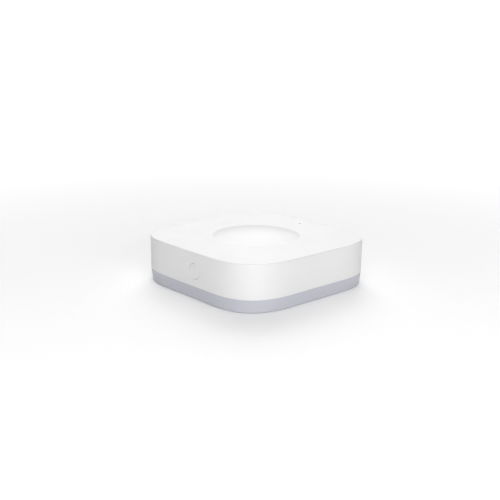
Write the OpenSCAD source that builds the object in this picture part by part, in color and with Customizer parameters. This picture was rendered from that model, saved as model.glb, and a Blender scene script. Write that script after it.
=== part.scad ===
// Smart home hub: a low square box with soft corners, a shallow round dome on top, a grey base,
// one push button in front, and a network socket and a power inlet at the back.
// Millimetres. The origin is under the middle of the box, on the table. +Z is up, the front is -Y.

/* [Case] */
// Side of the square case
case_w = 95; // [94:0.5:98]
// Height of the flat top above the table
case_h = 25; // [25:0.5:27]
// Length of the soft corner along each side
corner_reach = 32.1; // [30:0.1:33]
// Wall thickness of the cover
wall = 2; // [1.8:0.1:2]
// Radius of the edge round the top
edge_r = 0.7; // [0.5:0.1:1]
// Radius of the round dome on the top
dome_r = 23.8; // [22:0.2:25]
// Rise of the dome above the flat top
dome_rise = 2.6; // [2.2:0.1:3]

/* [Base] */
// Top of the grey base, where the cover starts
base_top = 7; // [6.8:0.1:7.2]
// How far each side of the base draws in towards its bottom
base_draft = 0.55; // [0.3:0.05:0.8]
// Chamfer round the bottom of the base
base_chamfer = 0.4; // [0.3:0.1:1]
// How far the rubber feet stand below the base
foot_gap = 0.3; // [0.3:0.1:0.8]
// Diameter of a rubber foot
foot_d = 9; // [8:0.5:10]

/* [Button] */
// Diameter of the button's face
button_d = 8.2; // [7.5:0.1:9]
// Sideways place of the button
button_x = 6.3; // [5.5:0.1:7]
// Height of the button's middle
button_z = 15; // [14.8:0.1:15.2]

/* [Status light] */
// Sideways place of the status light
light_x = -4.4; // [-5:0.1:-4]
// Place of the status light towards the back
light_y = 38.3; // [38:0.1:38.5]
// Diameter of the light's window in the top
light_d = 1.5; // [1:0.1:1.6]

/* [Ports] */
// Sideways place of the network socket
net_x = 8.5; // [8:0.5:12]
// Sideways place of the power inlet
usb_x = -12; // [-14:0.5:-12]

/* [Hidden] */
$fn = 64;

// Soft corner: a cubic curve whose handles are this share of its reach
corner_handle = 0.766;
corner_steps = 14;
// A corner's reach shrinks this much for each millimetre of inset, which keeps a wall even
reach_per_inset = 1.38;
slice_t = 0.02;
// The cover's wall draws in this much from its top edge to its foot
wall_draft = 0.03;
half_w = case_w / 2;
inner_half = half_w - wall;
// A cutting shape reaches this far past the face it opens
over = 1;
// A shape that is added to a wall reaches this far into it
root = 0.5;
// Two pieces that touch keep this much air
hair = 0.02;

// Levels, from the table up
floor_t = 2;
floor_top = foot_gap + floor_t;
board_t = 1.6;
board_bottom = base_top + 0.4;
board_top = board_bottom + board_t;
ceiling = case_h - wall;
tongue_top = board_top - 0.4;
sphere_r = (dome_r * dome_r + dome_rise * dome_rise) / (2 * dome_rise);

// Base: a tongue inside the cover's wall
tongue_gap = 0.1;
tongue_t = 1.2;
cavity_inset = wall + tongue_gap + tongue_t;

// Label in its shallow seat under the base
label_size = [44, 26, 0.1];
label_gap = 0.2;
label_seat = 0.15;

// Case screws, from below into the cover's bosses
boss_at = half_w - 15.5;
boss_r = 3.25;
boss_pilot_r = 1.2;
boss_pilot_depth = 9;
tube_r = 3.7;
screw_hole_r = 1.35;
screw_shank_r = 1.15;
screw_head_r = 2.2;
screw_head_h = 1.6;
foot_recess = 1;
foot_lead_in = 0.4;
counterbore_h = 2;
head_seat = foot_gap + foot_recess + counterbore_h;
case_screw_length = 11;

// Board and its screws, from above into the base's posts
board_inset = cavity_inset + 0.4;
post_x = 36;
post_y = 12;
post_r = 2.75;
post_pilot_r = 0.85;
board_hole_r = 1.1;
boss_notch_r = 4.25;
board_screw_head = [1.75, 1.1];
board_screw_shank = [0.8, 5];

// Button and its switch
cap_gap = 0.1;
flange_r = button_d / 2 + 1.1;
flange_front = -inner_half + 0.2;
flange_t = 1;
flange_back = flange_front + flange_t;
key_w = 1.6;
key_rise = 2;
key_guide = [1, 2, 2];
key_guide_at = 0.7;
cap_dish = 0.12;
switch_w = 6;
switch_h = 6.3;
switch_front = flange_back + 0.9;
switch_depth = 3.5;
plunger_r = 1.5;
plunger_z = board_top + 3.3;
plunger_in = 1.4;
plunger_bore = 2;
bracket_t = 0.3;

// Network socket, standing on the board and reaching into the back wall
net_w = 16;
net_h = 13.5;
net_back = half_w - 0.6;
net_depth = 15.4;
net_front = net_back - net_depth;
shell_t = 0.3;
plug_w = 11.9;
plug_h = 7;
plug_z = board_top + 3.6;
plug_depth = 12.5;
latch_w = 6.4;
latch_h = 2;
contact_pitch = 1.02;
contact_size = [0.4, 7, 0.3];
contact_tilt = 12;
contact_from_end = 2.2;
contact_below_roof = 1.9;
transformer_size = [12.7, 7, 4.5];
transformer_gap = 3;

// Power inlet
usb_w = 8.94;
usb_h = 3.26;
usb_t = 0.3;
usb_depth = 7.35;
usb_z = board_top + usb_h / 2;
usb_back = half_w - 0.45;
usb_root = 1.5;
usb_blade = [6.7, 5.6, 0.7];
usb_blade_at = 3.4;

// Power supply
regulator_at = [-13, 30];
regulator_size = [4, 4, 0.9];
inductor_at = [-22, 30];
inductor_size = [7, 7, 3.2];
inductor_dimple_r = 2.4;
inductor_dimple = 0.4;
capacitor_at = [-29, 20];
capacitor_pitch = 7;
capacitor_foot = [5.3, 5.3, 0.6];
capacitor_r = 2.5;
capacitor_h = 4.8;

// Status light
pipe_r = 1.2;
pipe_foot = board_top + 0.9;
pipe_guide_t = 1.3;
pipe_guide_foot = board_top + 7;
led_size = [1.6, 0.8, 0.6];

// Shielded processor
shield_x = -6;
shield_y = -2;
shield_w = 24;
shield_h = 2.2;
sheet_t = 0.25;
frame_h = 1.6;
lid_foot = 0.3;
processor_at = [-4, 3];
processor_size = [14, 14, 1.1];
memory_at = [7.5, 3];
memory_size = [7.5, 13, 1];
pad_w = 12;

// Loose chips and rows of small ceramic parts
flash_at = [-26, -12];
flash_size = [8, 6, 0.9];
crystal_at = [-26, -3];
crystal_size = [3.2, 2.5, 0.8];
passive_size = [1, 0.5, 0.5];
passive_pitch = 2;
passive_rows = 10;
front_row_at = [-15, -18];
side_row_at = [10, -11];

// Radio on its own small board
radio_at = [21, -20];
radio_size = [16, 22, 0.8];
radio_can_at = [21, -15.5];
radio_can_size = [14, 11, 2.2];

// Aerials on the side walls and their thin coaxial leads
antenna_t = 0.2;
antenna_gap = 0.05;
antenna_z = board_top + 6.5;
antenna_size = [30, 9];
coax_plug_r = 1.45;
coax_plug_h = 1.9;
coax_r = 0.55;
plug_x = 29;
plug_y = 2;
coax_z = board_top + 1.2;
coax_x = inner_half - antenna_gap - antenna_t - coax_r - 0.05;
coax_route = [
    [coax_x, 10, antenna_z],
    [coax_x, -6, antenna_z],
    [plug_x + 8, plug_y, coax_z],
    [plug_x + 1.5, plug_y, coax_z]
];
coax_rings = 24;
coax_sides = 8;

// ---- shapes that repeat ----

function corner_x(t) = pow(1 - t, 3) + 3 * pow(1 - t, 2) * t + 3 * (1 - t) * t * t * corner_handle;
function corner_point(t, half, reach) =
    [half - reach + reach * corner_x(t), half - reach + reach * corner_x(1 - t)];
function turned(p, quarters) = quarters == 0 ? p : turned([-p[1], p[0]], quarters - 1);
// The case's outline, moved in by inset all round
function outline(inset) = [
    for (quarter = [0:3])
        for (i = [0:corner_steps])
            turned(corner_point(i / corner_steps, half_w - inset, corner_reach - reach_per_inset * inset), quarter)
];

module slab(inset, low, high) {
    translate([0, 0, low]) linear_extrude(high - low) polygon(outline(inset));
}

// A copy of the children in each of the four quarters
module at_quarters(x, y) {
    for (sx = [-1, 1])
        for (sy = [-1, 1])
            translate([sx * x, sy * y, 0]) children();
}

// A box by its middle in plan, its size and its lowest level
module chip(x, y, size, low) {
    translate([x - size[0] / 2, y - size[1] / 2, low]) cube(size);
}

// The flat children, drawn in X and Z, pulled along Y
module along_y(x, z, front, back) {
    translate([x, back, z]) rotate([90, 0, 0]) linear_extrude(back - front) children();
}

// A flat shape with two round ends
module round_ended(w, h) {
    square([w - h, h], center = true);
    for (side = [-1, 1])
        translate([side * (w - h) / 2, 0]) circle(d = h);
}

// A pan-head screw: its head's seat is at z = 0, its shank points to +Z
module screw(head_r, head_h, shank_r, length) {
    difference() {
        translate([0, 0, -head_h]) cylinder(r = head_r, h = head_h);
        translate([0, 0, -head_h - 0.1]) cylinder(r = head_r * 0.45, h = head_h * 0.6 + 0.1, $fn = 6);
    }
    cylinder(r = shank_r, h = length - shank_r);
    translate([0, 0, length - shank_r]) cylinder(r1 = shank_r, r2 = shank_r * 0.4, h = shank_r);
}

// A metal can, open below
module metal_can(x, y, w, d, low, high) {
    difference() {
        chip(x, y, [w, d, high - low], low);
        chip(x, y, [w - 2 * sheet_t, d - 2 * sheet_t, high - low], low - sheet_t);
    }
}

// ---- case ----

module dome_cap(r, ball_r, low) {
    intersection() {
        translate([0, 0, case_h + dome_rise - sphere_r]) sphere(r = ball_r, $fn = 180);
        translate([0, 0, low]) cylinder(r = r, h = case_h + dome_rise - low + 1, $fn = 128);
    }
}

module cover_outside() {
    hull() {
        slab(wall_draft, base_top, base_top + slice_t);
        for (a = [0:30:90])
            slab(edge_r * (1 - cos(a)), case_h - edge_r * (1 - sin(a)) - slice_t, case_h - edge_r * (1 - sin(a)));
    }
    dome_cap(dome_r, sphere_r, ceiling);
}

module cover_fixings() {
    at_quarters(boss_at, boss_at)
        translate([0, 0, base_top]) cylinder(r = boss_r, h = ceiling + root - base_top);
    translate([light_x, light_y, pipe_guide_foot])
        cylinder(r = pipe_r + pipe_guide_t, h = ceiling + root - pipe_guide_foot);
    for (side = [-1, 1])
        chip(button_x + side * (key_w / 2 + key_guide_at), root - inner_half, key_guide, ceiling + root - key_guide[2]);
}

module cover_openings() {
    at_quarters(boss_at, boss_at)
        translate([0, 0, base_top - over]) cylinder(r = boss_pilot_r, h = boss_pilot_depth + over);
    translate([light_x, light_y, board_top]) cylinder(r = pipe_r + 0.05, h = ceiling - board_top);
    translate([light_x, light_y, board_top]) cylinder(d = light_d + 0.1, h = case_h);
    translate([button_x, over - inner_half, button_z]) rotate([90, 0, 0])
        cylinder(d = button_d + 2 * cap_gap, h = wall + 2 * over);
    along_y(net_x, board_top + net_h / 2, inner_half - over, half_w + over)
        square([net_w + 0.4, net_h + 0.4], center = true);
    along_y(usb_x, usb_z, inner_half - over, half_w + over)
        round_ended(usb_w + 0.5, usb_h + 0.46);
}

module top_cover() {
    color("whitesmoke")
    difference() {
        union() {
            difference() {
                cover_outside();
                slab(wall, base_top - over, ceiling);
                dome_cap(dome_r - wall, sphere_r - wall, ceiling - over);
            }
            cover_fixings();
        }
        cover_openings();
    }
}

module tray_outside() {
    hull() {
        slab(base_draft + base_chamfer, foot_gap, foot_gap + slice_t);
        slab(base_draft, foot_gap + base_chamfer, foot_gap + base_chamfer + slice_t);
        slab(hair, base_top - slice_t, base_top);
    }
    slab(wall + tongue_gap, base_top - 2 * root, tongue_top);
}

module base_tray() {
    color("silver")
    difference() {
        union() {
            difference() {
                tray_outside();
                slab(cavity_inset, floor_top, board_top);
            }
            at_quarters(boss_at, boss_at)
                translate([0, 0, floor_top - root]) cylinder(r = tube_r, h = base_top - floor_top + root);
            at_quarters(post_x, post_y)
                translate([0, 0, floor_top - root]) cylinder(r = post_r, h = board_bottom - floor_top + root);
        }
        at_quarters(boss_at, boss_at) {
            translate([0, 0, foot_gap - over]) cylinder(d = foot_d + 0.2, h = foot_recess + over);
            translate([0, 0, foot_gap]) cylinder(r = screw_head_r + 0.3, h = head_seat - foot_gap);
            translate([0, 0, foot_gap]) cylinder(r = screw_hole_r, h = base_top);
        }
        at_quarters(post_x, post_y)
            translate([0, 0, floor_top + 1]) cylinder(r = post_pilot_r, h = base_top);
        chip(0, 0, label_size + [2 * label_gap, 2 * label_gap, label_seat - label_size[2] + over], foot_gap - over);
    }
}

module rubber_feet() {
    color("dimgray")
    at_quarters(boss_at, boss_at) {
        cylinder(d1 = foot_d - 2 * foot_lead_in, d2 = foot_d, h = foot_lead_in);
        translate([0, 0, foot_lead_in]) cylinder(d = foot_d, h = foot_gap + foot_recess - foot_lead_in);
    }
}

module case_screws() {
    color("gray")
    at_quarters(boss_at, boss_at)
        translate([0, 0, head_seat]) screw(screw_head_r, screw_head_h, screw_shank_r, case_screw_length);
}

module rating_label() {
    color("white") chip(0, 0, label_size, foot_gap + label_seat - label_size[2]);
}

// ---- button ----

module button_cap() {
    color("white")
    difference() {
        union() {
            translate([button_x, flange_front, button_z]) rotate([90, 0, 0])
                cylinder(d = button_d, h = half_w + flange_front);
            translate([button_x, flange_back, button_z]) rotate([90, 0, 0])
                cylinder(r = flange_r, h = flange_t);
            chip(button_x, flange_front + flange_t / 2, [key_w, flange_t, key_rise], button_z + flange_r - 0.4);
        }
        translate([button_x, cap_dish - half_w, button_z]) rotate([90, 0, 0])
            cylinder(d1 = button_d - 1, d2 = button_d - 0.7, h = over);
    }
}

module switch_plunger() {
    color("black")
    translate([button_x, switch_front + plunger_in, plunger_z]) rotate([90, 0, 0])
        cylinder(r = plunger_r, h = switch_front + plunger_in - flange_back - hair);
}

module switch_body() {
    color("dimgray")
    difference() {
        chip(button_x, switch_front + switch_depth / 2, [switch_w, switch_depth, switch_h], board_top);
        translate([button_x, switch_front + plunger_bore, plunger_z]) rotate([90, 0, 0])
            cylinder(r = plunger_r + 0.1, h = plunger_bore + over);
    }
}

module switch_bracket() {
    color("lightgray")
    difference() {
        chip(button_x, switch_front + 1, [switch_w + 2 * bracket_t, 2.5, switch_h + bracket_t], board_top);
        chip(button_x, switch_front + 1.5, [switch_w + hair, 3, 2 * switch_h + hair], board_top - switch_h);
        translate([button_x, switch_front + plunger_bore, plunger_z]) rotate([90, 0, 0])
            cylinder(r = plunger_r + 0.2, h = plunger_bore + 2 * over);
    }
}

// ---- board ----

module main_board() {
    color("darkgreen")
    difference() {
        slab(board_inset, board_bottom, board_top);
        at_quarters(boss_at, boss_at)
            translate([0, 0, board_bottom - over]) cylinder(r = boss_notch_r, h = board_t + 2 * over);
        at_quarters(post_x, post_y)
            translate([0, 0, board_bottom - over]) cylinder(r = board_hole_r, h = board_t + 2 * over);
    }
}

module board_screws() {
    color("silver")
    at_quarters(post_x, post_y)
        translate([0, 0, board_top]) mirror([0, 0, 1])
            screw(board_screw_head[0], board_screw_head[1], board_screw_shank[0], board_screw_shank[1]);
}

module processor() {
    color("dimgray") chip(shield_x + processor_at[0], shield_y + processor_at[1], processor_size, board_top);
}

module memory_chip() {
    color("dimgray") chip(shield_x + memory_at[0], shield_y + memory_at[1], memory_size, board_top);
}

module flash_memory() {
    color("dimgray") chip(flash_at[0], flash_at[1], flash_size, board_top);
}

module thermal_pad() {
    pad_foot = processor_size[2] + hair;
    color("lightblue")
    chip(shield_x + processor_at[0], shield_y + processor_at[1],
        [pad_w, pad_w, shield_h - sheet_t - hair - pad_foot], board_top + pad_foot);
}

module shield_frame() {
    color("lightgray")
    difference() {
        chip(shield_x, shield_y, [shield_w, shield_w, frame_h], board_top);
        chip(shield_x, shield_y, [shield_w - 2 * sheet_t, shield_w - 2 * sheet_t, frame_h + 2 * over], board_top - over);
    }
}

module shield_lid() {
    lid_w = shield_w + 2 * sheet_t + 0.1;
    color("silver") metal_can(shield_x, shield_y, lid_w, lid_w, board_top + lid_foot, board_top + shield_h);
}

module crystal() {
    color("silver") chip(crystal_at[0], crystal_at[1], crystal_size, board_top);
}

module small_passives() {
    turned_size = [passive_size[1], passive_size[0], passive_size[2]];
    color("tan")
    for (i = [0:passive_rows - 1]) {
        chip(front_row_at[0] + passive_pitch * i, front_row_at[1], turned_size, board_top);
        chip(side_row_at[0], side_row_at[1] + passive_pitch * i, passive_size, board_top);
    }
}

// ---- radio ----

module radio_board() {
    color("green") chip(radio_at[0], radio_at[1], radio_size, board_top);
}

module radio_can() {
    can_foot = board_top + radio_size[2];
    color("silver")
    metal_can(radio_can_at[0], radio_can_at[1], radio_can_size[0], radio_can_size[1], can_foot, can_foot + radio_can_size[2]);
}

module antenna(side) {
    chip(side * (inner_half - antenna_gap - antenna_t / 2), 0,
        [antenna_t, antenna_size[0], antenna_size[1]], antenna_z - antenna_size[1] / 2);
}

module antenna_left() {
    color("peru") antenna(-1);
}

module antenna_right() {
    color("peru") antenna(1);
}

function unit(v) = v / norm(v);
function route_point(p, t) =
    pow(1 - t, 3) * p[0] + 3 * pow(1 - t, 2) * t * p[1] + 3 * (1 - t) * t * t * p[2] + pow(t, 3) * p[3];
function route_way(p, t) =
    unit(pow(1 - t, 2) * (p[1] - p[0]) + 2 * (1 - t) * t * (p[2] - p[1]) + t * t * (p[3] - p[2]));
function ring(centre, way, r) =
    let (across = unit(cross([0, 0, 1], way)), upward = cross(way, across))
    [for (s = [0:coax_sides - 1])
        centre + r * (cos(360 * s / coax_sides) * across + sin(360 * s / coax_sides) * upward)];

module coax_lead() {
    last = coax_rings - 1;
    points = [for (i = [0:last])
        each ring(route_point(coax_route, i / last), route_way(coax_route, i / last), coax_r)];
    sides = [for (i = [0:last - 1]) for (s = [0:coax_sides - 1])
        let (a = i * coax_sides + s, b = i * coax_sides + (s + 1) % coax_sides)
        each [[a, a + coax_sides, b], [b, a + coax_sides, b + coax_sides]]];
    first_end = [for (s = [0:coax_sides - 1]) s];
    last_end = [for (s = [0:coax_sides - 1]) last * coax_sides + coax_sides - 1 - s];
    polyhedron(points, concat(sides, [first_end, last_end]));
}

module antenna_cable_left() {
    color("black") mirror([1, 0, 0]) coax_lead();
}

module antenna_cable_right() {
    color("black") coax_lead();
}

module coax_plugs() {
    color("gold")
    for (side = [-1, 1])
        translate([side * plug_x, plug_y, board_top]) cylinder(r = coax_plug_r, h = coax_plug_h);
}

// ---- network socket ----

module ethernet_shell() {
    color("silver")
    difference() {
        chip(net_x, net_back - net_depth / 2, [net_w, net_depth, net_h], board_top);
        translate([net_x - net_w / 2 + shell_t, net_front + shell_t, board_top + shell_t])
            cube([net_w - 2 * shell_t, net_depth, net_h - 2 * shell_t]);
    }
}

module ethernet_insert() {
    body_w = net_w - 2 * shell_t - 2 * hair;
    body_h = net_h - 2 * shell_t - 2 * hair;
    body_front = net_front + shell_t + hair;
    color("dimgray")
    difference() {
        translate([net_x - body_w / 2, body_front, board_top + shell_t + hair])
            cube([body_w, net_back - shell_t - body_front, body_h]);
        translate([net_x - plug_w / 2, net_back - plug_depth, plug_z])
            cube([plug_w, plug_depth + over, plug_h]);
        translate([net_x - latch_w / 2, net_back - plug_depth, plug_z - latch_h])
            cube([latch_w, plug_depth + over, plug_h]);
    }
}

module ethernet_contacts() {
    color("gold")
    for (i = [0:7])
        translate([net_x + (i - 3.5) * contact_pitch, net_back - plug_depth + contact_from_end,
            plug_z + plug_h - contact_below_roof])
            rotate([contact_tilt, 0, 0]) translate([-contact_size[0] / 2, 0, 0]) cube(contact_size);
}

module ethernet_transformer() {
    color("dimgray")
    chip(net_x, net_front - transformer_gap - transformer_size[1] / 2, transformer_size, board_top);
}

// ---- power inlet and supply ----

module usb_shell() {
    color("silver")
    difference() {
        along_y(usb_x, usb_z, usb_back - usb_depth, usb_back) round_ended(usb_w, usb_h);
        along_y(usb_x, usb_z, usb_back - usb_depth - over, usb_back + over)
            round_ended(usb_w - 2 * usb_t, usb_h - 2 * usb_t);
    }
}

module usb_tongue() {
    inner_front = usb_back - usb_depth;
    color("black")
    union() {
        along_y(usb_x, usb_z, inner_front, inner_front + usb_root)
            round_ended(usb_w - 2 * (usb_t + hair), usb_h - 2 * (usb_t + hair));
        chip(usb_x, inner_front + usb_blade_at, usb_blade, usb_z - usb_blade[2] / 2);
    }
}

module voltage_regulator() {
    color("dimgray") chip(regulator_at[0], regulator_at[1], regulator_size, board_top);
}

module power_inductor() {
    color("gray")
    difference() {
        chip(inductor_at[0], inductor_at[1], inductor_size, board_top);
        translate([inductor_at[0], inductor_at[1], board_top + inductor_size[2] - inductor_dimple])
            cylinder(r = inductor_dimple_r, h = inductor_dimple + over);
    }
}

module filter_capacitors() {
    color("lightgray")
    for (i = [0:2]) {
        x = capacitor_at[0] + capacitor_pitch * i;
        chip(x, capacitor_at[1], capacitor_foot, board_top);
        translate([x, capacitor_at[1], board_top + capacitor_foot[2]]) cylinder(r = capacitor_r, h = capacitor_h);
    }
}

// ---- status light ----

module status_led() {
    color("white") chip(light_x, light_y, led_size, board_top);
}

module light_pipe() {
    color("white")
    union() {
        translate([light_x, light_y, pipe_foot]) cylinder(r = pipe_r, h = ceiling - hair - pipe_foot);
        translate([light_x, light_y, ceiling - 0.1]) cylinder(d = light_d, h = wall + 0.05);
    }
}

top_cover();
base_tray();
rubber_feet();
case_screws();
rating_label();
button_cap();
switch_plunger();
switch_body();
switch_bracket();
main_board();
board_screws();
processor();
memory_chip();
flash_memory();
thermal_pad();
shield_frame();
shield_lid();
crystal();
small_passives();
radio_board();
radio_can();
antenna_left();
antenna_right();
antenna_cable_left();
antenna_cable_right();
coax_plugs();
ethernet_shell();
ethernet_insert();
ethernet_contacts();
ethernet_transformer();
usb_shell();
usb_tongue();
voltage_regulator();
power_inductor();
filter_capacitors();
status_led();
light_pipe();
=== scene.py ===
import math

import bmesh
import bpy
from mathutils import Matrix, Vector


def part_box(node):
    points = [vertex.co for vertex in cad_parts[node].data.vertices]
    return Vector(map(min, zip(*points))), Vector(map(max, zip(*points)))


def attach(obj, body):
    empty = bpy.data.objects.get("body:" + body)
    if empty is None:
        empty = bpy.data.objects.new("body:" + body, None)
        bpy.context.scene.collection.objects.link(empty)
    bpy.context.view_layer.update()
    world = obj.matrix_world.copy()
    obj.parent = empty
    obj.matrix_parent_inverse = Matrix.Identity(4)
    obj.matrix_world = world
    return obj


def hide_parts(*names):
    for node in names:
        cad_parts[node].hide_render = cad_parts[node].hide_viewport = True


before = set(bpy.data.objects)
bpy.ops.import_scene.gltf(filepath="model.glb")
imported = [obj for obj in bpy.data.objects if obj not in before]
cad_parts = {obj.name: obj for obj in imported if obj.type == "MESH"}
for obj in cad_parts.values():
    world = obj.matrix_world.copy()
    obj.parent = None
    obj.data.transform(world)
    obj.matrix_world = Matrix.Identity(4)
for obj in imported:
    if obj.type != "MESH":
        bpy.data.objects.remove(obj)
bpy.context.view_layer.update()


# ---- Base tray ----
# The lower shell is one moulding of cool grey plastic with a satin skin. A thin tongue on its rim
# slides inside the cover, tubes in its corners take the case screws and four posts hold the board.

tray_low, tray_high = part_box("base_tray")
cover_low, cover_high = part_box("top_cover")
board_low, board_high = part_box("main_board")
label_low, label_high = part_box("rating_label")
foot_low, foot_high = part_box("rubber_feet")
screw_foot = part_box("case_screws")[0].z
case_half = cover_high.x
base_top = cover_low.z
tongue_top = tray_high.z
flat_top = 0.025
wall = 0.002
floor_top = tray_low.z + wall
corner_reach = 0.0321
corner_profile = 0.62
reach_per_inset = 1.38
foot_radius = 0.0045
boss_at = foot_high.x - foot_radius
post_at = (0.036, 0.012)
over = 0.001
root = 0.0005
hair = 1e-6


def leave_edit():
    """Goes back to object mode if a mesh is still open."""
    if bpy.context.object and bpy.context.object.mode == "EDIT":
        bpy.ops.object.mode_set(mode="OBJECT")


def only(piece):
    """Makes piece the one selected and active object."""
    leave_edit()
    bpy.ops.object.select_all(action="DESELECT")
    piece.select_set(True)
    bpy.context.view_layer.objects.active = piece


def named(name):
    """Names the object that was just added and lays its place into its mesh."""
    piece = bpy.context.object
    piece.name = name
    piece.data.name = name
    bpy.ops.object.transform_apply(location=True, rotation=True, scale=True)
    return piece


def block(name, low, high):
    """A box from its lowest to its highest corner."""
    leave_edit()
    bpy.ops.object.select_all(action="DESELECT")
    low, high = Vector(low), Vector(high)
    bpy.ops.mesh.primitive_cube_add(size=1, location=(low + high) / 2, scale=high - low)
    return named(name)


def rod(name, middle, radius, length, axis="Z", sides=64, tip_radius=None):
    """A round bar along Z or Y by its middle. tip_radius tapers its upper or rear end."""
    leave_edit()
    bpy.ops.object.select_all(action="DESELECT")
    turn = (math.radians(-90), 0, 0) if axis == "Y" else (0, 0, 0)
    bpy.ops.mesh.primitive_cone_add(
        vertices=sides, radius1=radius, radius2=radius if tip_radius is None else tip_radius,
        depth=length, location=middle, rotation=turn,
    )
    return named(name)


def pick(piece, kind, wanted):
    """Opens piece in edit mode with the vertices, edges or faces for which wanted() is true selected."""
    only(piece)
    bpy.ops.object.mode_set(mode="EDIT")
    bpy.ops.mesh.select_mode(type=kind)
    bpy.ops.mesh.select_all(action="DESELECT")
    shape = bmesh.from_edit_mesh(piece.data)
    for part in {"VERT": shape.verts, "EDGE": shape.edges, "FACE": shape.faces}[kind]:
        if wanted(part):
            part.select_set(True)
    bmesh.update_edit_mesh(piece.data)


def at_level(z, tolerance=1e-5):
    """Says whether every corner of an edge or face lies at height z."""
    return lambda part: all(abs(v.co.z - z) < tolerance for v in part.verts)


def upright(edge):
    """Says whether an edge runs along Z."""
    way = edge.verts[0].co - edge.verts[1].co
    return abs(way.x) < hair and abs(way.y) < hair


def soft_block(name, inset, low, high, steps=32):
    """The case's outline moved in by inset all round, as a block between two heights."""
    half = case_half - inset
    piece = block(name, (-half, -half, low), (half, half, high))
    pick(piece, "EDGE", upright)
    bpy.ops.mesh.bevel(
        offset=corner_reach - reach_per_inset * inset, segments=steps, profile=corner_profile, affect="EDGES"
    )
    leave_edit()
    return piece


def round_rim(piece, wanted, radius, steps):
    """Rounds the edges of piece for which wanted() is true."""
    pick(piece, "EDGE", wanted)
    bpy.ops.mesh.bevel(offset=radius, segments=steps, profile=0.5, affect="EDGES")
    leave_edit()


def joined(name, pieces):
    """Joins several pieces into one object."""
    only(pieces[0])
    for piece in pieces:
        piece.select_set(True)
    bpy.ops.object.join()
    pieces[0].name = name
    return pieces[0]


def combine(piece, tool, operation):
    """Adds tool to piece, or cuts it out, and throws the tool away."""
    only(piece)
    bpy.ops.object.modifier_add(type="BOOLEAN")
    change = piece.modifiers[-1]
    change.operation = operation
    change.solver = "EXACT"
    change.use_self = operation == "UNION"
    change.object = tool
    bpy.ops.object.modifier_apply(modifier=change.name)
    bpy.data.objects.remove(tool)


def face_outward(piece):
    """Turns every face of piece to the outside."""
    only(piece)
    bpy.ops.object.mode_set(mode="EDIT")
    bpy.ops.mesh.select_all(action="SELECT")
    bpy.ops.mesh.normals_make_consistent(inside=False)
    leave_edit()


def smooth_skin(piece, angle):
    """Smooths the rounded stretches of the active piece and keeps its broad faces flat."""
    bpy.ops.object.shade_smooth_by_angle(angle=math.radians(angle), keep_sharp_edges=False)
    bpy.ops.object.modifier_add(type="WEIGHTED_NORMAL")
    piece.modifiers[-1].keep_sharp = True
    piece.modifiers[-1].weight = 100
    bpy.ops.object.modifier_apply(modifier=piece.modifiers[-1].name)


def finish_skin(piece, angle=9):
    """Turns the faces of a finished piece outward and smooths its skin."""
    face_outward(piece)
    smooth_skin(piece, angle)


def four_rods(name, places, low, high, radius, sides=48):
    """Four equal upright rods, one in each quarter."""
    x, y = places
    rods = [
        rod(name, (sx * x, sy * y, (low + high) / 2), radius, high - low, sides=sides)
        for sx in (-1, 1) for sy in (-1, 1)
    ]
    return joined(name, rods)


def at_bosses(name, low, high, radius):
    return four_rods(name, (boss_at, boss_at), low, high, radius)


tray_draft = 0.00055
tray_chamfer = 0.0004
rim_break = 0.00012
seam_gap = 0.00003
tongue_inset = 0.0021
hollow_inset = 0.0033
tube_radius = 0.0037
post_radius = 0.00275
foot_seat_radius = 0.0046
head_seat_radius = 0.0025
head_height = 0.0016
screw_hole_radius = 0.00135
post_hole_radius = 0.00085
label_gap = Vector((0.0002, 0.0002, 0))

tray = soft_block("grey_base_tray", seam_gap, tray_low.z, base_top)
pick(tray, "FACE", at_level(tray_low.z))
bottom_scale = (case_half - tray_draft) / case_half
bpy.ops.transform.resize(value=(bottom_scale, bottom_scale, 1), center_override=(0, 0, tray_low.z))
leave_edit()
round_rim(tray, at_level(tray_low.z), tray_chamfer, 6)
round_rim(tray, at_level(base_top), rim_break, 3)
combine(tray, soft_block("tongue", tongue_inset, base_top - over, tongue_top), "UNION")
combine(tray, soft_block("hollow", hollow_inset, floor_top, tongue_top + over), "DIFFERENCE")
combine(tray, at_bosses("tubes", floor_top - root, base_top, tube_radius), "UNION")
combine(tray, four_rods("posts", post_at, floor_top - root, board_low.z, post_radius), "UNION")
combine(tray, at_bosses("foot_seats", 0, foot_high.z, foot_seat_radius), "DIFFERENCE")
combine(tray, at_bosses("head_seats", 0, screw_foot + head_height, head_seat_radius), "DIFFERENCE")
combine(tray, at_bosses("screw_holes", 0, base_top + over, screw_hole_radius), "DIFFERENCE")
post_holes = four_rods("post_holes", post_at, floor_top + over, board_high.z, post_hole_radius)
combine(tray, post_holes, "DIFFERENCE")
label_foot = Vector((label_low.x, label_low.y, 0))
combine(tray, block("label_seat", label_foot - label_gap, label_high + label_gap), "DIFFERENCE")
finish_skin(tray)


def new_material(name):
    """A node material with its shader, its pattern coordinates and its node tree at hand."""
    material = bpy.data.materials.new(name)
    material.use_nodes = True
    tree = material.node_tree
    place = tree.nodes.new("ShaderNodeTexCoord")
    return material, tree, tree.nodes["Principled BSDF"], place.outputs["Object"]


def noise(tree, place, scale, detail=2.0):
    """A noise pattern with scale features to the metre."""
    node = tree.nodes.new("ShaderNodeTexNoise")
    node.inputs["Scale"].default_value = scale
    node.inputs["Detail"].default_value = detail
    tree.links.new(place, node.inputs["Vector"])
    return node.outputs["Fac"]


def spread(tree, value, low, high):
    """Maps a pattern from 0..1 to low..high."""
    node = tree.nodes.new("ShaderNodeMapRange")
    node.inputs["From Min"].default_value = 0.3
    node.inputs["From Max"].default_value = 0.7
    node.inputs["To Min"].default_value = low
    node.inputs["To Max"].default_value = high
    tree.links.new(value, node.inputs["Value"])
    return node.outputs["Result"]


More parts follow.
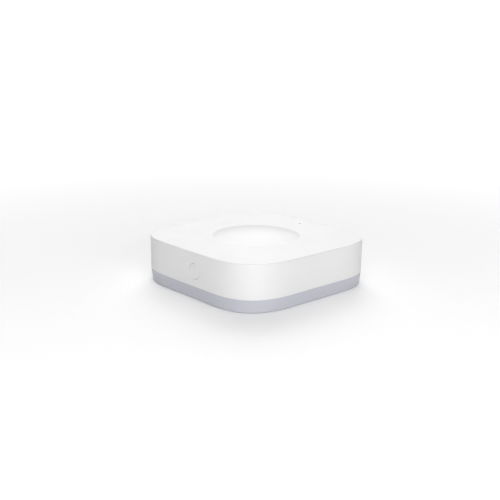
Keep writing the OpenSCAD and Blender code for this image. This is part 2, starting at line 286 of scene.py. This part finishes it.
def tint(tree, value, first, second):
    """Mixes two colours by a pattern."""
    node = tree.nodes.new("ShaderNodeMix")
    node.data_type = "RGBA"
    node.inputs["A"].default_value = (*first, 1)
    node.inputs["B"].default_value = (*second, 1)
    tree.links.new(value, node.inputs["Factor"])
    return node.outputs["Result"]


def grain(tree, shader, height, strength, depth):
    """Raises the surface by a pattern, depth metres at most."""
    node = tree.nodes.new("ShaderNodeBump")
    node.inputs["Strength"].default_value = strength
    node.inputs["Distance"].default_value = depth
    tree.links.new(height, node.inputs["Height"])
    tree.links.new(node.outputs["Normal"], shader.inputs["Normal"])


def moulded_plastic(
    name, colour, roughness, grain_size=0.00025, grain_depth=2e-6, colour_drift=0.012, shine=0.5
):
    """Moulded plastic with a fine spark-eroded grain. shine over 0.5 gives it a more lacquered skin."""
    material, tree, shader, place = new_material(name)
    shader.inputs["IOR"].default_value = 1.5 + 0.6 * (shine - 0.5)
    shader.inputs["Specular IOR Level"].default_value = shine
    drift = noise(tree, place, 45, 3)
    darker = [c * (1 - colour_drift) for c in colour]
    lighter = [min(1, c * (1 + colour_drift)) for c in colour]
    tree.links.new(tint(tree, spread(tree, drift, 0, 1), darker, lighter), shader.inputs["Base Color"])
    gloss = noise(tree, place, 140, 4)
    tree.links.new(spread(tree, gloss, roughness - 0.025, roughness + 0.025), shader.inputs["Roughness"])
    grain(tree, shader, noise(tree, place, 1 / grain_size, 3), 0.5, grain_depth)
    return material


def dress(piece, material):
    """Gives a piece one material all over."""
    piece.data.materials.clear()
    piece.data.materials.append(material)


def seat(piece, material, body, node):
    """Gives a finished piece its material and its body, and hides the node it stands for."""
    dress(piece, material)
    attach(piece, body)
    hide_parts(node)


satin = 0.45
lacquered = 0.7
grey_plastic = moulded_plastic("satin_grey_plastic", (0.46, 0.467, 0.52), satin, shine=lacquered)
seat(tray, grey_plastic, "case", "base_tray")


# ---- Rubber feet ----
# Four soft black rubber discs with rounded rims, glued into round seats under the base.
# They hide the case screws and hold the base just clear of the table.


def rubber(name, colour):
    """Matt rubber with a powdery, slightly uneven skin."""
    material, tree, shader, place = new_material(name)
    dust = noise(tree, place, 900, 4)
    dusty = [c * 1.35 for c in colour]
    tree.links.new(tint(tree, spread(tree, dust, 0, 1), colour, dusty), shader.inputs["Base Color"])
    tree.links.new(spread(tree, noise(tree, place, 300, 3), 0.72, 0.86), shader.inputs["Roughness"])
    grain(tree, shader, noise(tree, place, 5200, 3), 0.6, 5e-6)
    return material


foot_lead_in = 0.00035
feet = four_rods("rubber_feet_pads", (boss_at, boss_at), foot_low.z, foot_high.z, foot_radius, sides=72)
round_rim(feet, at_level(foot_low.z), foot_lead_in, 4)
finish_skin(feet, 30)
seat(feet, rubber("black_rubber", (0.028, 0.028, 0.030)), "case", "rubber_feet")


# ---- Rating label ----
# A blank film with rounded corners, stuck into a shallow seat under the base.
# Its only print is a thin frame line, with no words.

label_corner = 0.0018
label = block("blank_label", label_low, label_high)
round_rim(label, upright, label_corner, 8)
finish_skin(label, 30)


def film(name, colour, line_colour, half_size, line_at, line_width):
    """Satin film with a thin printed frame line inside its edge."""
    material, tree, shader, place = new_material(name)
    split = tree.nodes.new("ShaderNodeSeparateXYZ")
    tree.links.new(place, split.inputs["Vector"])
    inside = []
    for axis, half in zip("XY", half_size):
        size = tree.nodes.new("ShaderNodeMath")
        size.operation = "ABSOLUTE"
        tree.links.new(split.outputs[axis], size.inputs[0])
        short = tree.nodes.new("ShaderNodeMath")
        short.operation = "SUBTRACT"
        short.inputs[0].default_value = half - line_at
        tree.links.new(size.outputs[0], short.inputs[1])
        inside.append(short.outputs[0])
    nearest = tree.nodes.new("ShaderNodeMath")
    nearest.operation = "MINIMUM"
    tree.links.new(inside[0], nearest.inputs[0])
    tree.links.new(inside[1], nearest.inputs[1])
    line = tree.nodes.new("ShaderNodeMath")
    line.operation = "COMPARE"
    line.inputs[1].default_value = 0
    line.inputs[2].default_value = line_width / 2
    tree.links.new(nearest.outputs[0], line.inputs[0])
    tree.links.new(tint(tree, line.outputs[0], colour, line_colour), shader.inputs["Base Color"])
    tree.links.new(spread(tree, noise(tree, place, 400, 2), 0.38, 0.46), shader.inputs["Roughness"])
    grain(tree, shader, noise(tree, place, 1500, 2), 0.4, 2e-6)
    return material


label_half = ((label_high.x - label_low.x) / 2, (label_high.y - label_low.y) / 2)
label_look = film(
    "label_film", (0.62, 0.62, 0.64), (0.25, 0.25, 0.27), label_half, line_at=0.0015, line_width=0.0002
)
seat(label, label_look, "case", "rating_label")


# ---- Circuit board ----
# Two layers of glass fibre under a green solder mask, cut to the inside of the base.
# Copper tracks show through the mask as slightly lighter lines. Four small screws hold it.


def softened(node, name, width, steps=2, angle=35):
    """A copy of a CAD node with its sharp edges rounded, which stands for the node."""
    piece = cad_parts[node].copy()
    piece.data = piece.data.copy()
    bpy.context.scene.collection.objects.link(piece)
    piece.name = name
    for key in list(piece.keys()):
        del piece[key]
    piece.parent = None
    only(piece)
    bpy.ops.object.mode_set(mode="EDIT")
    bpy.ops.mesh.select_all(action="SELECT")
    bpy.ops.mesh.remove_doubles(threshold=hair)
    bpy.ops.mesh.dissolve_limited(angle_limit=math.radians(0.5))
    leave_edit()
    bpy.ops.object.modifier_add(type="BEVEL")
    rounding = piece.modifiers[-1]
    rounding.width = width
    rounding.segments = steps
    rounding.limit_method = "ANGLE"
    rounding.angle_limit = math.radians(angle)
    bpy.ops.object.modifier_apply(modifier=rounding.name)
    smooth_skin(piece, 32)
    return piece


def circuit_board(name, mask, track):
    """Green solder mask with copper tracks showing through as lighter lines."""
    material, tree, shader, place = new_material(name)
    bricks = tree.nodes.new("ShaderNodeTexBrick")
    bricks.offset = 0.37
    bricks.inputs["Scale"].default_value = 420
    bricks.inputs["Color1"].default_value = (*mask, 1)
    bricks.inputs["Color2"].default_value = (*[c * 0.86 for c in mask], 1)
    bricks.inputs["Mortar"].default_value = (*track, 1)
    bricks.inputs["Mortar Size"].default_value = 0.05
    bricks.inputs["Mortar Smooth"].default_value = 0.2
    tree.links.new(place, bricks.inputs["Vector"])
    tree.links.new(bricks.outputs["Color"], shader.inputs["Base Color"])
    tree.links.new(spread(tree, noise(tree, place, 260, 3), 0.28, 0.38), shader.inputs["Roughness"])
    grain(tree, shader, bricks.outputs["Fac"], 0.5, 1.5e-5)
    return material


mask_green = circuit_board("green_board", (0.010, 0.105, 0.038), (0.020, 0.175, 0.060))
seat(softened("main_board", "main_circuit_board", 0.00008), mask_green, "case", "main_board")


def metal(name, colour, roughness, brush=0.0, grain_depth=1.5e-6):
    """Sheet or turned metal. brush stretches its fine scratches along X."""
    material, tree, shader, place = new_material(name)
    shader.inputs["Metallic"].default_value = 1
    stretch = tree.nodes.new("ShaderNodeMapping")
    stretch.inputs["Scale"].default_value = (1 - 0.95 * brush, 1, 1)
    tree.links.new(place, stretch.inputs["Vector"])
    fine = noise(tree, stretch.outputs["Vector"], 3200, 4)
    darker = [c * 0.93 for c in colour]
    cloud = spread(tree, noise(tree, place, 220, 3), 0, 1)
    tree.links.new(tint(tree, cloud, darker, colour), shader.inputs["Base Color"])
    tree.links.new(spread(tree, fine, roughness - 0.05, roughness + 0.06), shader.inputs["Roughness"])
    grain(tree, shader, fine, 0.4, grain_depth)
    return material


zinc = metal("zinc_plated_steel", (0.62, 0.62, 0.60), 0.32)
seat(softened("board_screws", "board_screw_set", 0.00008), zinc, "case", "board_screws")
seat(softened("case_screws", "case_screw_set", 0.0001), zinc, "case", "case_screws")


# ---- Chips ----
# Black epoxy packages with a matt, slightly sandy top: processor, memory, flash, regulator and the
# network transformer. The flash chip, the regulator and the transformer stand on tinned gull-wing legs.


def epoxy(name, colour):
    """Black moulded epoxy with a sandy ejector texture."""
    material, tree, shader, place = new_material(name)
    sand = noise(tree, place, 4200, 4)
    greyer = [c * 1.5 for c in colour]
    tree.links.new(tint(tree, spread(tree, sand, 0, 1), colour, greyer), shader.inputs["Base Color"])
    tree.links.new(spread(tree, noise(tree, place, 500, 2), 0.52, 0.64), shader.inputs["Roughness"])
    grain(tree, shader, sand, 0.7, 5e-6)
    return material


black_epoxy = epoxy("black_epoxy", (0.020, 0.020, 0.022))
for chip in ("processor", "memory_chip", "flash_memory", "voltage_regulator", "ethernet_transformer"):
    seat(softened(chip, chip + "_package", 0.00012, 3), black_epoxy, "case", chip)

tinned = metal("tinned_copper", (0.74, 0.73, 0.70), 0.30)


def gull_legs(node, name, pitch, width, reach):
    """Bent legs along both long sides of a chip, from its waist down to the board."""
    low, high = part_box(node)
    thick = 0.00015
    waist = low.z + (high.z - low.z) * 0.4
    shoulder = high.x + reach * 0.3
    count = int((high.y - low.y - width) / pitch) + 1
    first = (low.y + high.y) / 2 - (count - 1) * pitch / 2
    leg = block(name, (high.x, first - width / 2, waist - thick), (shoulder, first + width / 2, waist))
    pick(leg, "FACE", lambda face: all(abs(v.co.x - shoulder) < hair for v in face.verts))
    bpy.ops.mesh.extrude_region_move(
        TRANSFORM_OT_translate={"value": (reach * 0.2, 0, low.z + thick - waist)}
    )
    bpy.ops.mesh.extrude_region_move(TRANSFORM_OT_translate={"value": (reach * 0.5, 0, 0)})
    leave_edit()
    legs = [leg]
    for offset in range(1, count):
        again = leg.copy()
        again.data = leg.data.copy()
        again.name = f"{name}_{offset}"
        bpy.context.scene.collection.objects.link(again)
        for vertex in again.data.vertices:
            vertex.co.y += offset * pitch
        legs.append(again)
    row = joined(name, legs)
    bpy.ops.object.duplicate()
    other = bpy.context.object
    bpy.ops.object.mode_set(mode="EDIT")
    bpy.ops.mesh.select_all(action="SELECT")
    bpy.ops.transform.resize(value=(-1, 1, 1), center_override=((low.x + high.x) / 2, 0, 0))
    leave_edit()
    both = joined(name, [row, other])
    face_outward(both)
    dress(both, tinned)
    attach(both, "case")


gull_legs("flash_memory", "flash_memory_legs", pitch=0.00127, width=0.0004, reach=0.001)
gull_legs("voltage_regulator", "voltage_regulator_legs", pitch=0.00095, width=0.0004, reach=0.0009)
gull_legs(
    "ethernet_transformer", "ethernet_transformer_legs", pitch=0.00102, width=0.0004, reach=0.0012
)


# ---- Shield cans, crystal and radio ----
# Tinned sheet steel: a soldered frame with a clip-on lid over the processor, a can over the radio,
# and the crystal's small welded can. A soft pad carries the processor's heat into the lid.

tin = metal("tinned_sheet", (0.70, 0.70, 0.68), 0.26, brush=0.8)
for can in ("shield_frame", "shield_lid", "crystal", "radio_can", "switch_bracket"):
    seat(softened(can, can + "_sheet", 0.00008), tin, "case", can)
radio_card = softened("radio_board", "radio_circuit_board", 0.00006)
seat(radio_card, mask_green, "case", "radio_board")
seat(
    softened("thermal_pad", "soft_thermal_pad", 0.0001), rubber("blue_silicone", (0.16, 0.30, 0.46)),
    "case", "thermal_pad",
)


# ---- Small ceramic parts, inductor and capacitors ----
# Rows of tan ceramic parts, one moulded ferrite inductor, and three round aluminium capacitors.
# The real parts have tinned ends and black plinths; here each group is given one material all over.

ceramic = moulded_plastic("tan_ceramic", (0.40, 0.27, 0.15), 0.45, 0.0004, 3e-6, 0.12)
seat(softened("small_passives", "ceramic_parts", 0.00004), ceramic, "case", "small_passives")
ferrite = epoxy("ferrite_grey", (0.055, 0.055, 0.058))
inductor = softened("power_inductor", "ferrite_block", 0.0002, 3)
seat(inductor, ferrite, "case", "power_inductor")
aluminium = metal("drawn_aluminium", (0.78, 0.78, 0.79), 0.24, brush=0.5)
seat(
    softened("filter_capacitors", "capacitor_cans", 0.00025, 3), aluminium,
    "case", "filter_capacitors",
)


# ---- Aerials and their leads ----
# Two flexible printed films stuck inside the cover's side walls, each with a thin black coaxial lead
# that ends in a gilt push-on plug on the board.


def aerial_film(name, film_colour, copper):
    """Amber film with wide copper bars showing through."""
    material, tree, shader, place = new_material(name)
    bars = tree.nodes.new("ShaderNodeTexWave")
    bars.wave_type = "BANDS"
    bars.bands_direction = "Y"
    bars.inputs["Scale"].default_value = 48
    bars.inputs["Distortion"].default_value = 0
    tree.links.new(place, bars.inputs["Vector"])
    edge = spread(tree, bars.outputs["Fac"], 0, 1)
    tree.links.new(tint(tree, edge, film_colour, copper), shader.inputs["Base Color"])
    tree.links.new(spread(tree, noise(tree, place, 300, 2), 0.26, 0.34), shader.inputs["Roughness"])
    grain(tree, shader, edge, 0.5, 1.5e-5)
    return material


amber_film = aerial_film("aerial_film", (0.36, 0.17, 0.03), (0.52, 0.25, 0.12))
coax_jacket = moulded_plastic("coax_jacket", (0.018, 0.018, 0.019), 0.38, 0.0002, 2e-6, 0.1)
for side in ("left", "right"):
    aerial = softened("antenna_" + side, f"aerial_{side}_film", 0.00004, 1)
    seat(aerial, amber_film, "case", "antenna_" + side)
for side in ("left", "right"):
    coax = softened("antenna_cable_" + side, f"coax_lead_{side}", 0.00004, 1, angle=60)
    seat(coax, coax_jacket, "case", "antenna_cable_" + side)

gilt = metal("gilt_contact", (0.86, 0.62, 0.26), 0.22)
seat(softened("coax_plugs", "coax_push_plugs", 0.0002, 3), gilt, "case", "coax_plugs")


# ---- Network socket ----
# A nickel-plated shell folded round a black moulded insert, with eight sprung gilt contacts in the
# roof of its cavity and a slot below for the plug's latch.

nickel = metal("nickel_plated_sheet", (0.68, 0.66, 0.62), 0.24, brush=0.6)
socket_black = moulded_plastic("socket_black_plastic", (0.022, 0.022, 0.024), 0.44, 0.0003, 3e-6, 0.08)
socket_shell = softened("ethernet_shell", "network_socket_shell", 0.0001)
seat(socket_shell, nickel, "case", "ethernet_shell")
insert = softened("ethernet_insert", "network_socket_insert", 0.0002, 3)
seat(insert, socket_black, "case", "ethernet_insert")
springs = softened("ethernet_contacts", "network_socket_contacts", 0.00008, 2)
seat(springs, gilt, "case", "ethernet_contacts")


# ---- Power inlet ----
# A seamless deep-drawn steel shell with a rolled mouth, and a black tongue that carries the contacts.

seat(softened("usb_shell", "power_inlet_shell", 0.0001, 3), nickel, "case", "usb_shell")
tongue = softened("usb_tongue", "power_inlet_tongue", 0.0001, 2)
seat(tongue, socket_black, "case", "usb_tongue")

shell_low, shell_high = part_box("usb_shell")
tongue_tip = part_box("usb_tongue")[1].y
inlet_x = (shell_low.x + shell_high.x) / 2
blade_z = (shell_low.z + shell_high.z) / 2
strip_count = 12
strip_pitch = 0.0005
strip_half = Vector((0.00013, 0, 0.00002))
strip_lift = 0.00036
strip_reach = (0.0038, 0.0003)
strips = []
for n in range(strip_count):
    for face in (-1, 1):
        strip_x = inlet_x + (n - (strip_count - 1) / 2) * strip_pitch
        middle = Vector((strip_x, tongue_tip, blade_z + face * strip_lift))
        back, front = (middle - Vector((0, reach, 0)) for reach in strip_reach)
        strips.append(block("inlet_contact", back - strip_half, front + strip_half))
inlet_contacts = joined("power_inlet_contacts", strips)
dress(inlet_contacts, gilt)
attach(inlet_contacts, "case")


# ---- Push button and its switch ----
# The cap is white like the cover, flush with it, with a rounded rim and a very shallow dish. A flange
# behind the wall holds it in, and it presses the black plunger of a side-facing switch.

cap_low, cap_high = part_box("button_cap")
cap_x = (cap_low.x + cap_high.x) / 2
cap_radius = 0.0041
cap_rim = 0.0005
flange_radius = (cap_high.x - cap_low.x) / 2
cap_z = cap_low.z + flange_radius
flange_back = cap_high.y
flange_thick = 0.001
flange_front = flange_back - flange_thick
key_half = 0.0008
key_root = 0.0006
round_sides = 96
dish_steps = ((0.00001, 0.86), (0.00003, 0.84), (0.00002, 0.80), (0.00001, 0.75))


def lying_rod(name, front, back, radius):
    """A round bar along Y behind the button's face."""
    return rod(name, (cap_x, (front + back) / 2, cap_z), radius, back - front, axis="Y", sides=round_sides)


def on_front(part):
    """Says whether an edge or face lies in the button's front face."""
    return all(abs(v.co.y - cap_low.y) < 1e-5 for v in part.verts)


cap = lying_rod("push_button_cap", cap_low.y, flange_front, cap_radius)
round_rim(cap, on_front, cap_rim, 8)
pick(cap, "FACE", on_front)
for depth, size in dish_steps:
    bpy.ops.mesh.extrude_region_move(TRANSFORM_OT_translate={"value": (0, depth, 0)})
    bpy.ops.transform.resize(value=(size, 1, size), center_override=(cap_x, 0, cap_z))
leave_edit()
combine(cap, lying_rod("flange", flange_front, flange_back, flange_radius), "UNION")
key_low = (cap_x - key_half, flange_front, cap_z + flange_radius - key_root)
key_high = (cap_x + key_half, flange_back, cap_high.z)
combine(cap, block("key", key_low, key_high), "UNION")
finish_skin(cap, 25)

cap_plastic = moulded_plastic("satin_white_cap", (0.70, 0.70, 0.70), satin, shine=lacquered)
seat(cap, cap_plastic, "button", "button_cap")
nylon = moulded_plastic("black_nylon", (0.020, 0.020, 0.021), 0.48, 0.0003, 3e-6, 0.08)
plunger = softened("switch_plunger", "switch_plunger_pin", 0.0003, 4)
seat(plunger, nylon, "button", "switch_plunger")
seat(softened("switch_body", "switch_housing", 0.00015, 2), nylon, "case", "switch_body")


# ---- Status light ----
# A small white light on the board and a smoked clear pipe that carries it up to a window in the top.

status_led = moulded_plastic("light_housing", (0.72, 0.73, 0.66), 0.30)
seat(softened("status_led", "status_light_chip", 0.00006), status_led, "case", "status_led")


def smoked_clear(name, colour):
    """Plastic with a smoke tint and a polished skin."""
    material, tree, shader, place = new_material(name)
    shader.inputs["IOR"].default_value = 1.49
    cloud = noise(tree, place, 700, 3)
    darker = [c * 0.8 for c in colour]
    tree.links.new(tint(tree, spread(tree, cloud, 0, 1), darker, colour), shader.inputs["Base Color"])
    tree.links.new(spread(tree, noise(tree, place, 900, 2), 0.16, 0.24), shader.inputs["Roughness"])
    grain(tree, shader, cloud, 0.2, 1e-6)
    return material


light_low, light_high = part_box("light_pipe")
pipe_look = smoked_clear("smoked_light_pipe", (0.25, 0.26, 0.27))
seat(softened("light_pipe", "light_pipe_rod", 0.00008, 2), pipe_look, "case", "light_pipe")


# ---- Top cover ----
# The upper shell is one white moulding, 2 mm thick, with soft corners, a crisp rim and a shallow
# round dome. Bosses inside take the case screws, and holes let out the button, light and sockets.

rim_radius = 0.0005
dome_radius = 0.0238
dome_foot_radius = 0.0003
dome_rise = cover_high.z - flat_top
ball_radius = (dome_radius ** 2 + dome_rise ** 2) / (2 * dome_rise)
ceiling = flat_top - wall
light_x, light_y = (light_low.x + light_high.x) / 2, (light_low.y + light_high.y) / 2
pipe_guide_low = board_high.z + 0.007
pipe_guide_radius = 0.0025
pipe_hole_radius = 0.00125
light_window_radius = 0.0008
boss_radius = 0.00325
boss_hole_radius = 0.0012
boss_hole_depth = 0.009
button_hole_radius = 0.0042
button_hole_rim = 0.0004
through = 0.01
net_low, net_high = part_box("ethernet_shell")
wall_cut = 0.003
socket_gap = 0.0002
inlet_gap = 0.00024
inlet_half_height = (shell_high.z - shell_low.z) / 2 + inlet_gap


def dome(name, radius, ball, crest, foot, rings=26):
    """A round slug from foot up, closed by the cap of a ball whose crest is at that height."""
    centre = crest - ball
    edge_angle = math.asin(radius / ball)
    rim_z = centre + ball * math.cos(edge_angle)
    slug = rod(name, (0, 0, (foot + rim_z) / 2), radius, rim_z - foot, sides=192)
    pick(slug, "FACE", at_level(rim_z, 2e-6))
    last_radius, last_z = radius, rim_z
    for ring in range(1, rings):
        angle = edge_angle * (1 - ring / rings)
        next_radius, next_z = ball * math.sin(angle), centre + ball * math.cos(angle)
        bpy.ops.mesh.extrude_region_move(TRANSFORM_OT_translate={"value": (0, 0, next_z - last_z)})
        size = next_radius / last_radius
        bpy.ops.transform.resize(value=(size, size, 1), center_override=(0, 0, next_z))
        last_radius, last_z = next_radius, next_z
    bpy.ops.mesh.poke()
    leave_edit()
    return slug


def light_rod(name, low, high, radius, sides=64):
    """An upright rod on the status light's axis."""
    return rod(name, (light_x, light_y, (low + high) / 2), radius, high - low, sides=sides)


def on_dome_foot(edge):
    """Says whether an edge lies where the dome meets the flat top."""
    return all(abs(v.co.z - flat_top) < 1e-5 and abs(v.co.xy.length - dome_radius) < 1e-4 for v in edge.verts)


def on_button_rim(edge):
    """Says whether an edge lies on the outer rim of the button's hole."""
    return all(
        abs(v.co.y + case_half) < 2e-5 and
        abs(math.hypot(v.co.x - cap_x, v.co.z - cap_z) - button_hole_radius) < 2e-5
        for v in edge.verts
    )


def along_wall(edge):
    """Says whether an edge runs through the wall, from its inside to its outside."""
    return abs(edge.verts[0].co.y - edge.verts[1].co.y) > wall_cut


cover = soft_block("white_top_cover", 0, base_top, flat_top)
round_rim(cover, at_level(flat_top), rim_radius, 14)
round_rim(cover, at_level(base_top), rim_break, 3)
combine(cover, dome("dome", dome_radius, ball_radius, cover_high.z, ceiling + root), "UNION")
round_rim(cover, on_dome_foot, dome_foot_radius, 3)
combine(cover, soft_block("hollow", wall, base_top - over, ceiling), "DIFFERENCE")
dome_hollow = dome("dome_hollow", dome_radius - wall, ball_radius - wall, cover_high.z - wall, ceiling - over)
combine(cover, dome_hollow, "DIFFERENCE")
combine(cover, at_bosses("bosses", base_top, ceiling + root, boss_radius), "UNION")
combine(cover, light_rod("pipe_guide", pipe_guide_low, ceiling + root, pipe_guide_radius), "UNION")
boss_holes = at_bosses("boss_holes", base_top - over, base_top + boss_hole_depth, boss_hole_radius)
combine(cover, boss_holes, "DIFFERENCE")
combine(cover, light_rod("pipe_hole", board_high.z, ceiling, pipe_hole_radius), "DIFFERENCE")
light_window = rod("light_window", (light_x, light_y, flat_top), light_window_radius, through, sides=48)
combine(cover, light_window, "DIFFERENCE")
button_hole = rod(
    "button_hole", (cap_x, -case_half, cap_z), button_hole_radius, through, axis="Y", sides=round_sides
)
combine(cover, button_hole, "DIFFERENCE")
socket_hole = block(
    "socket_hole",
    (net_low.x - socket_gap, case_half - wall_cut, net_low.z - socket_gap),
    (net_high.x + socket_gap, case_half + wall_cut, net_high.z + socket_gap),
)
combine(cover, socket_hole, "DIFFERENCE")
inlet_hole = block(
    "inlet_hole",
    (shell_low.x - inlet_gap, case_half - wall_cut, blade_z - inlet_half_height),
    (shell_high.x + inlet_gap, case_half + wall_cut, blade_z + inlet_half_height),
)
round_rim(inlet_hole, along_wall, inlet_half_height * 0.999, 16)
combine(cover, inlet_hole, "DIFFERENCE")
round_rim(cover, on_button_rim, button_hole_rim, 8)
finish_skin(cover)

white_plastic = moulded_plastic("satin_white_plastic", (0.70, 0.70, 0.70), satin, shine=lacquered)
seat(cover, white_plastic, "case", "top_cover")


# ---- Table, lights and camera ----
# A white table with a clearing under the base that fades to plain white away from the hub, broad lights
# from above and behind, two low soft boxes in front, and a white room. None of it is part of the hub.

width = 2 * case_half
table_reach = 80
room_reach = 39
fade_start, fade_end = 0.9 * width, 4.0 * width
white_glow = 1.02
clearing_inset = 0.003
leave_edit()
bpy.ops.object.select_all(action="DESELECT")
bpy.ops.mesh.primitive_plane_add(size=width * table_reach, location=(0, 0, 0))
table = named("table")
combine(table, soft_block("clearing", clearing_inset, -through, through), "DIFFERENCE")
table_white, table_tree, table_shader, table_place = new_material("table_white")
table_shader.inputs["Base Color"].default_value = (0.99, 0.99, 0.99, 1)
table_shader.inputs["Roughness"].default_value = 0.85
table_shader.inputs["Specular IOR Level"].default_value = 0.2
out_from_hub = table_tree.nodes.new("ShaderNodeVectorMath")
out_from_hub.operation = "LENGTH"
fade = table_tree.nodes.new("ShaderNodeMapRange")
fade.inputs["From Min"].default_value = fade_start
fade.inputs["From Max"].default_value = fade_end
glow = table_tree.nodes.new("ShaderNodeEmission")
glow.inputs["Strength"].default_value = white_glow
faded = table_tree.nodes.new("ShaderNodeMixShader")
table_tree.links.new(table_place, out_from_hub.inputs[0])
table_tree.links.new(out_from_hub.outputs["Value"], fade.inputs["Value"])
table_tree.links.new(fade.outputs["Result"], faded.inputs["Fac"])
table_tree.links.new(table_shader.outputs["BSDF"], faded.inputs[1])
table_tree.links.new(glow.outputs["Emission"], faded.inputs[2])
side_seen = table_tree.nodes.new("ShaderNodeNewGeometry")
clear = table_tree.nodes.new("ShaderNodeBsdfTransparent")
one_sided = table_tree.nodes.new("ShaderNodeMixShader")
table_tree.links.new(side_seen.outputs["Backfacing"], one_sided.inputs["Fac"])
table_tree.links.new(faded.outputs["Shader"], one_sided.inputs[1])
table_tree.links.new(clear.outputs["BSDF"], one_sided.inputs[2])
table_tree.links.new(one_sided.outputs["Shader"], table_tree.nodes["Material Output"].inputs["Surface"])
dress(table, table_white)

leave_edit()
bpy.ops.object.select_all(action="DESELECT")
bpy.ops.mesh.primitive_uv_sphere_add(segments=64, ring_count=32, radius=width * room_reach)
room = named("room")
room_white, _, room_shader, _ = new_material("room_white")
room_shader.inputs["Base Color"].default_value = (0, 0, 0, 1)
room_shader.inputs["Specular IOR Level"].default_value = 0
room_shader.inputs["Emission Color"].default_value = (1, 1, 1, 1)
room_shader.inputs["Emission Strength"].default_value = white_glow
dress(room, room_white)
room.visible_diffuse = False
room.visible_glossy = False
room.visible_transmission = False
room.visible_shadow = False

camera_at = Vector((3.1625, -2.8728, 1.3276)) * width
camera_azimuth = math.radians(48.19)
camera_elevation = math.radians(15.1)
camera_roll = math.radians(0.52)
camera_data = bpy.data.cameras.new("camera")
camera_data.sensor_width = 36
camera_data.lens = 55.31
camera_data.clip_start = 0.01
camera = bpy.data.objects.new("camera", camera_data)
bpy.context.scene.collection.objects.link(camera)
aim = Matrix.Rotation(camera_azimuth, 4, "Z") @ Matrix.Rotation(math.pi / 2 - camera_elevation, 4, "X")
camera.matrix_world = Matrix.Translation(camera_at) @ aim @ Matrix.Rotation(camera_roll, 4, "Z")
bpy.context.scene.camera = camera


lamp_distance = 0.9
box_size = (0.30, 0.20)


def lamp(name, kind, azimuth, elevation, power):
    """A light that faces the hub from azimuth, counted from the front towards +X, and elevation."""
    data = bpy.data.lights.new(name, kind)
    data.energy = power
    light = bpy.data.objects.new(name, data)
    bpy.context.scene.collection.objects.link(light)
    turn, rise = math.radians(azimuth), math.radians(elevation)
    way = Vector((math.sin(turn) * math.cos(rise), -math.cos(turn) * math.cos(rise), math.sin(rise)))
    light.location = way * lamp_distance + Vector((0, 0, flat_top / 2))
    light.rotation_euler = (-way).to_track_quat("-Z", "Y").to_euler()
    return data


def broad_light(name, azimuth, elevation, angle, power):
    """Soft light of one strength over the whole table, from a patch of sky angle degrees across."""
    lamp(name, "SUN", azimuth, elevation, power).angle = math.radians(angle)


def soft_box(name, azimuth, elevation, size, power):
    """A rectangular soft box, size wide and high."""
    data = lamp(name, "AREA", azimuth, elevation, power)
    data.shape = "RECTANGLE"
    data.size, data.size_y = size


broad_light("over_front", azimuth=48, elevation=50, angle=50, power=0.96)
broad_light("over_back", azimuth=228, elevation=50, angle=50, power=0.92)
broad_light("low_back", azimuth=228, elevation=30, angle=40, power=0.88)
broad_light("over_left", azimuth=273, elevation=50, angle=50, power=0.22)
soft_box("near_corner", azimuth=48, elevation=18, size=box_size, power=3.15)
soft_box("right_front", azimuth=76, elevation=20, size=box_size, power=1.40)

world = bpy.data.worlds.new("studio")
world.use_nodes = True
sky_tree = world.node_tree
sky_way = sky_tree.nodes.new("ShaderNodeTexCoord")
sky_split = sky_tree.nodes.new("ShaderNodeSeparateXYZ")
sky_fade = sky_tree.nodes.new("ShaderNodeMapRange")
sky_fade.inputs["From Min"].default_value = -0.02
sky_fade.inputs["From Max"].default_value = 0.02
sky_fade.inputs["To Min"].default_value = 0.90
sky_fade.inputs["To Max"].default_value = 0.10
sky_tree.links.new(sky_way.outputs["Generated"], sky_split.inputs["Vector"])
sky_tree.links.new(sky_split.outputs["Z"], sky_fade.inputs["Value"])
sky_tree.links.new(sky_fade.outputs["Result"], sky_tree.nodes["Background"].inputs["Strength"])
sky_tree.nodes["Background"].inputs["Color"].default_value = (1, 1, 1, 1)
bpy.context.scene.world = world
bpy.context.scene.view_settings.view_transform = "Standard"

leave_edit()
